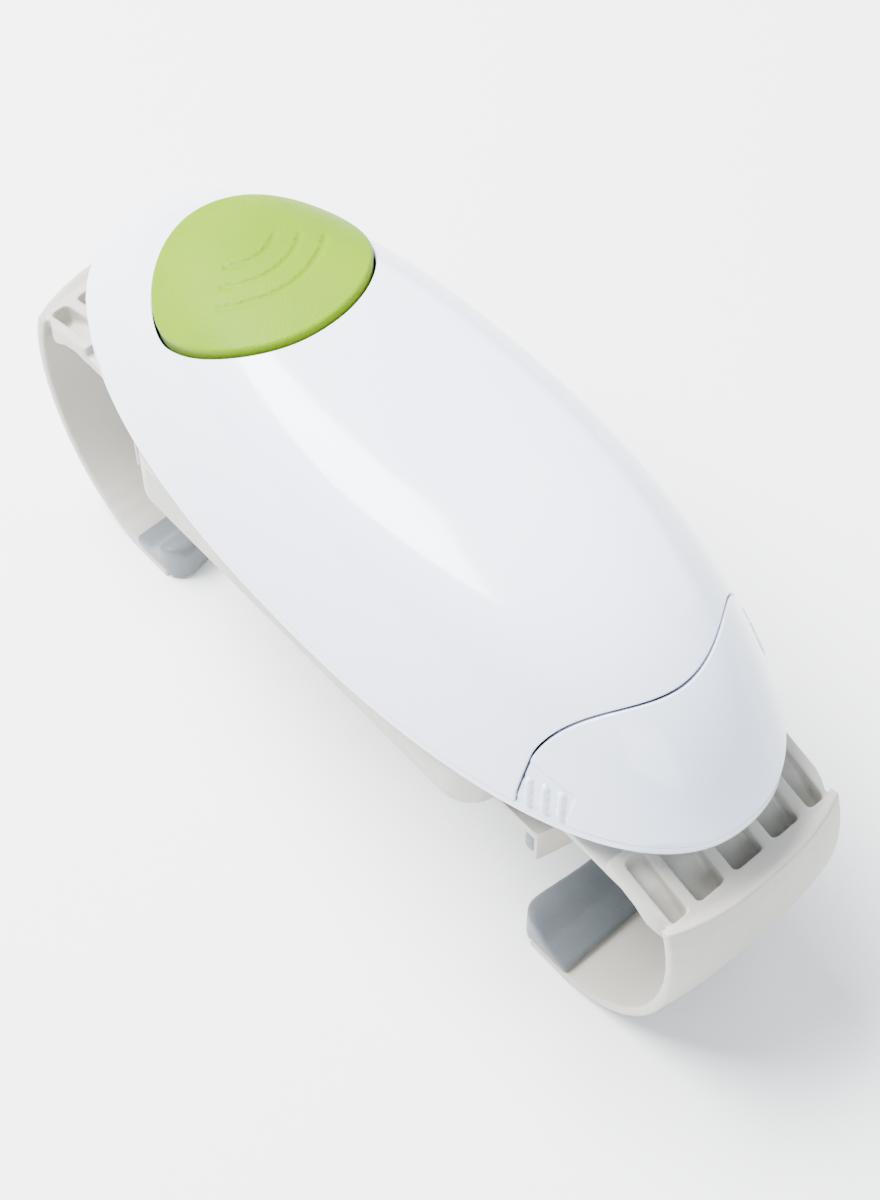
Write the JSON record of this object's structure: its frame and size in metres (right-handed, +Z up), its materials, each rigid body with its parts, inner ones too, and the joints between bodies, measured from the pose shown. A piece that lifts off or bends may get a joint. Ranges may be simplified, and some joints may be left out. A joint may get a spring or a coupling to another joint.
{
  "type": "electric jar opener",
  "caption": "Hands-free battery jar opener: oval body with a start button, C-shaped jar arms and a turning lid clamp beneath.",
  "frame": {"origin": "on the plane of the feet, directly below the clamp axis at the centre of the body", "axes": "+Z up along the clamp axis, +X along the body towards the battery door, +Y across the body"},
  "size_m": [0.2082, 0.0746, 0.1132],
  "materials": {
    "white_shell": "high gloss",
    "lime_button": "fine leather grain",
    "grey_arm": "satin, lightly textured",
    "grey_rubber": "soft matt rubber",
    "steel": "zinc-plated",
    "brass": "machined",
    "gear_nylon": "natural nylon",
    "board_green": "circuit board",
    "dark_plastic": "black moulded",
    "fibre": "pressed fibre",
    "cell_jacket": "printed sleeve without text"
  },
  "bodies": {
    "housing": {"top_shell": "white_shell", "base_plate": "white_shell", "tact_switch": "dark_plastic", "circuit_board": "board_green", "board_screws": "steel", "motor_can": "steel", "motor_end_cap": "dark_plastic", "motor_terminals": "brass", "gear_axles": "steel", "gear_plate": "grey_arm", "gear_plate_screws": "steel", "battery_box": "white_shell", "battery_left": "cell_jacket", "battery_right": "cell_jacket", "contact_springs": "steel", "contact_plates": "steel", "housing_screws": "steel", "chassis": "grey_arm", "chassis_screws": "steel", "bearing_bush": "brass"},
    "button": {"button": "lime_button", "button_spring": "steel"},
    "battery_door": {"battery_door": "white_shell"},
    "rotor": {"motor_shaft": "steel", "motor_pinion": "brass"},
    "first_gear": {"first_gear": "gear_nylon"},
    "second_gear": {"second_gear": "gear_nylon"},
    "turret": {"drive_gear": "gear_nylon", "spindle": "steel", "retaining_clip": "steel", "jar_clutch_washer": "fibre", "jar_clutch_spring": "steel", "lid_carriage": "grey_arm", "lid_cover": "grey_arm", "lid_cover_screws": "steel"},
    "jar_pinion": {"jar_pinion": "gear_nylon"},
    "jar_arm_right": {"jar_arm_right": "grey_arm", "jar_pad_right": "grey_rubber"},
    "jar_arm_left": {"jar_arm_left": "grey_arm", "jar_pad_left": "grey_rubber"},
    "lid_pinion": {"lid_pinion": "gear_nylon"},
    "lid_arm_right": {"lid_arm_right": "grey_arm", "lid_pad_right": "grey_rubber"},
    "lid_arm_left": {"lid_arm_left": "grey_arm", "lid_pad_left": "grey_rubber"}
  },
  "joints": [
    {"name": "button_press", "type": "slide", "parent": "housing", "child": "button", "axis": [0, 0, -1], "range_m": [0, 0.0025], "stiffness_N_per_m": 400, "springref_m": -0.001, "deforming": ["button_spring"]},
    {"name": "battery_door_slide", "type": "slide", "parent": "housing", "child": "battery_door", "axis": [1, 0, 0], "range_m": [0, 0.03]},
    {"name": "turret_spin", "type": "hinge", "parent": "housing", "child": "turret", "pos_m": [0, 0, 0.07], "axis": [0, 0, 1], "continuous": true},
    {"name": "second_gear_spin", "type": "hinge", "parent": "housing", "child": "second_gear", "pos_m": [-0.024, 0, 0.07], "axis": [0, 0, 1], "continuous": true},
    {"name": "first_gear_spin", "type": "hinge", "parent": "housing", "child": "first_gear", "pos_m": [-0.0396, 0, 0.07], "axis": [0, 0, 1], "continuous": true},
    {"name": "rotor_spin", "type": "hinge", "parent": "housing", "child": "rotor", "pos_m": [-0.0511, 0, 0.07], "axis": [0, 0, 1], "continuous": true},
    {"name": "jar_arm_right_slide", "type": "slide", "parent": "housing", "child": "jar_arm_right", "axis": [-1, 0, 0], "range_m": [0, 0.027]},
    {"name": "jar_arm_left_slide", "type": "slide", "parent": "housing", "child": "jar_arm_left", "axis": [1, 0, 0], "range_m": [0, 0.027]},
    {"name": "jar_pinion_spin", "type": "hinge", "parent": "housing", "child": "jar_pinion", "pos_m": [0, 0, 0.07], "axis": [0, 0, 1], "range_deg": [0, 277]},
    {"name": "lid_arm_right_slide", "type": "slide", "parent": "turret", "child": "lid_arm_right", "axis": [-1, 0, 0], "range_m": [0, 0.033]},
    {"name": "lid_arm_left_slide", "type": "slide", "parent": "turret", "child": "lid_arm_left", "axis": [1, 0, 0], "range_m": [0, 0.033]},
    {"name": "lid_pinion_spin", "type": "hinge", "parent": "turret", "child": "lid_pinion", "pos_m": [0, 0, 0.07], "axis": [0, 0, 1], "range_deg": [0, 338]}
  ],
  "couplings": [
    {"joint": "second_gear_spin", "follows": "turret_spin", "ratio": -4},
    {"joint": "first_gear_spin", "follows": "turret_spin", "ratio": 12},
    {"joint": "rotor_spin", "follows": "turret_spin", "ratio": -43.2},
    {"joint": "jar_arm_left_slide", "follows": "jar_arm_right_slide", "ratio": 1},
    {"joint": "jar_pinion_spin", "follows": "jar_arm_right_slide", "rad_per_m": 178.57},
    {"joint": "lid_arm_left_slide", "follows": "lid_arm_right_slide", "ratio": 1},
    {"joint": "lid_pinion_spin", "follows": "lid_arm_right_slide", "rad_per_m": 178.57}
  ]
}
